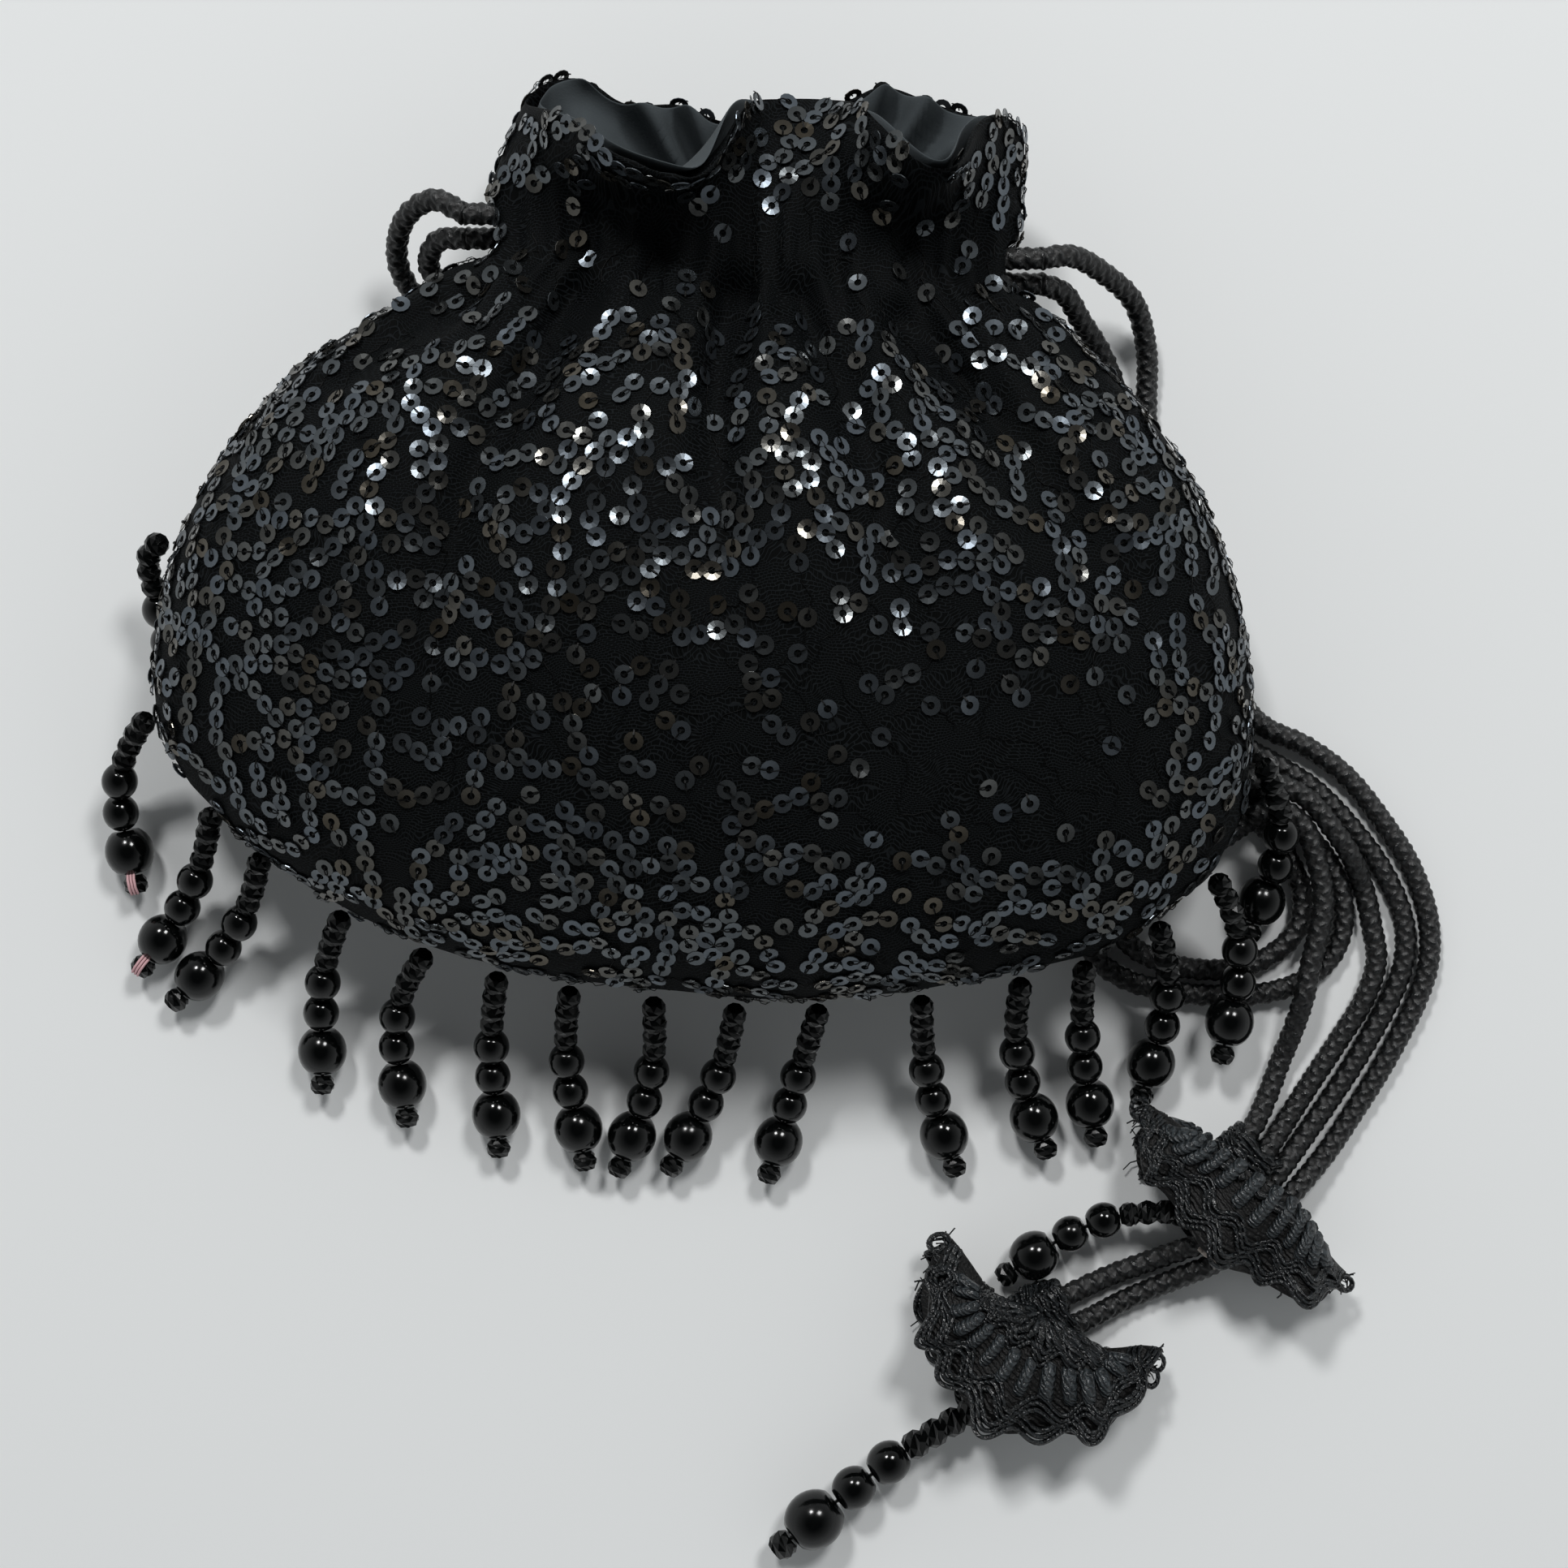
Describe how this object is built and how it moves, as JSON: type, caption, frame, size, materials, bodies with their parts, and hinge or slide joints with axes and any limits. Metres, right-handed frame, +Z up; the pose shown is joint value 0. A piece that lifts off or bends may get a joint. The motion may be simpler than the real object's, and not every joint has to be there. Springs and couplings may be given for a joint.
{
  "type": "potli bag",
  "caption": "Soft rounded drawstring pouch lying flat, with a gathered frill, cords ending in tassels, and beaded strings along its lower seam.",
  "frame": {"origin": "centre of the flat patch of the bag's back, on the surface it lies on", "axes": "+Z up from the surface, +Y from the lower seam towards the mouth, +X to the viewer's right across the front"},
  "size_m": [0.216, 0.2374, 0.0507],
  "materials": {
    "sequined_net": "black tulle net over black cloth, set with glossy black ring sequins",
    "crepe_lining": "matt black crepe",
    "plaited_cord": "black four-strand plaited cord with a slight sheen",
    "gimp_braid": "black satin gimp braid",
    "black_beads": "opaque jet black glass, faceted on the small beads and smooth on the round ones"
  },
  "bodies": {
    "bag": {"outer_shell": "sequined_net", "lining": "crepe_lining", "drawstring_left_channel": "plaited_cord", "drawstring_right_channel": "plaited_cord", "drawstring_left_upper": "plaited_cord", "drawstring_left_lower": "plaited_cord", "drawstring_right_upper": "plaited_cord", "drawstring_right_lower": "plaited_cord", "tassel_near": "gimp_braid", "tassel_far": "gimp_braid", "binding_near": "plaited_cord", "binding_far": "plaited_cord", "pendant_near": "black_beads", "pendant_far": "black_beads"},
    "fringe_01": {"fringe_01": "black_beads"},
    "fringe_02": {"fringe_02": "black_beads"},
    "fringe_03": {"fringe_03": "black_beads"},
    "fringe_04": {"fringe_04": "black_beads"},
    "fringe_05": {"fringe_05": "black_beads"},
    "fringe_06": {"fringe_06": "black_beads"},
    "fringe_07": {"fringe_07": "black_beads"},
    "fringe_08": {"fringe_08": "black_beads"},
    "fringe_09": {"fringe_09": "black_beads"},
    "fringe_10": {"fringe_10": "black_beads"},
    "fringe_11": {"fringe_11": "black_beads"},
    "fringe_12": {"fringe_12": "black_beads"},
    "fringe_13": {"fringe_13": "black_beads"},
    "fringe_14": {"fringe_14": "black_beads"},
    "fringe_15": {"fringe_15": "black_beads"},
    "fringe_16": {"fringe_16": "black_beads"},
    "fringe_17": {"fringe_17": "black_beads"}
  },
  "joints": [
    {"name": "fringe_01_swing", "type": "hinge", "parent": "bag", "child": "fringe_01", "pos_m": [-0.08424, 0.01373, 0.018], "axis": [0.1736, 0.9848, 0], "range_deg": [0, 75]},
    {"name": "fringe_02_swing", "type": "hinge", "parent": "bag", "child": "fringe_02", "pos_m": [-0.0868, -0.01381, 0.018], "axis": [-0.9817, 0.1902, 0], "range_deg": [0, 75]},
    {"name": "fringe_03_swing", "type": "hinge", "parent": "bag", "child": "fringe_03", "pos_m": [-0.07691, -0.02853, 0.018], "axis": [-0.8816, 0.4721, 0], "range_deg": [0, 75]},
    {"name": "fringe_04_swing", "type": "hinge", "parent": "bag", "child": "fringe_04", "pos_m": [-0.06916, -0.0356, 0.018], "axis": [-0.8326, 0.5539, 0], "range_deg": [0, 75]},
    {"name": "fringe_05_swing", "type": "hinge", "parent": "bag", "child": "fringe_05", "pos_m": [-0.05628, -0.04491, 0.018], "axis": [-0.9824, 0.1867, 0], "range_deg": [0, 75]},
    {"name": "fringe_06_swing", "type": "hinge", "parent": "bag", "child": "fringe_06", "pos_m": [-0.04304, -0.05101, 0.018], "axis": [-0.9834, 0.1817, 0], "range_deg": [0, 75]},
    {"name": "fringe_07_swing", "type": "hinge", "parent": "bag", "child": "fringe_07", "pos_m": [-0.03186, -0.05443, 0.018], "axis": [-0.9992, 0.0396, 0], "range_deg": [0, 75]},
    {"name": "fringe_08_swing", "type": "hinge", "parent": "bag", "child": "fringe_08", "pos_m": [-0.02048, -0.05668, 0.018], "axis": [-0.9988, -0.0484, 0], "range_deg": [0, 75]},
    {"name": "fringe_09_swing", "type": "hinge", "parent": "bag", "child": "fringe_09", "pos_m": [-0.00739, -0.05837, 0.018], "axis": [-0.9782, 0.2078, 0], "range_deg": [0, 75]},
    {"name": "fringe_10_swing", "type": "hinge", "parent": "bag", "child": "fringe_10", "pos_m": [0.00566, -0.05944, 0.018], "axis": [-0.93, 0.3675, 0], "range_deg": [0, 75]},
    {"name": "fringe_11_swing", "type": "hinge", "parent": "bag", "child": "fringe_11", "pos_m": [0.01886, -0.05955, 0.018], "axis": [-0.9613, 0.2756, 0], "range_deg": [0, 75]},
    {"name": "fringe_12_swing", "type": "hinge", "parent": "bag", "child": "fringe_12", "pos_m": [0.03489, -0.05813, 0.018], "axis": [-0.9791, -0.2033, 0], "range_deg": [0, 75]},
    {"name": "fringe_13_swing", "type": "hinge", "parent": "bag", "child": "fringe_13", "pos_m": [0.05063, -0.0553, 0.018], "axis": [-0.9859, -0.1673, 0], "range_deg": [0, 75]},
    {"name": "fringe_14_swing", "type": "hinge", "parent": "bag", "child": "fringe_14", "pos_m": [0.06059, -0.0527, 0.018], "axis": [-0.9944, -0.1059, 0], "range_deg": [0, 75]},
    {"name": "fringe_15_swing", "type": "hinge", "parent": "bag", "child": "fringe_15", "pos_m": [0.07207, -0.04654, 0.018], "axis": [-0.9997, 0.0253, 0], "range_deg": [0, 75]},
    {"name": "fringe_16_swing", "type": "hinge", "parent": "bag", "child": "fringe_16", "pos_m": [0.081, -0.03899, 0.018], "axis": [-0.9943, -0.1066, 0], "range_deg": [0, 75]},
    {"name": "fringe_17_swing", "type": "hinge", "parent": "bag", "child": "fringe_17", "pos_m": [0.08844, -0.02076, 0.018], "axis": [-0.7071, -0.7071, 0], "range_deg": [0, 75]}
  ]
}
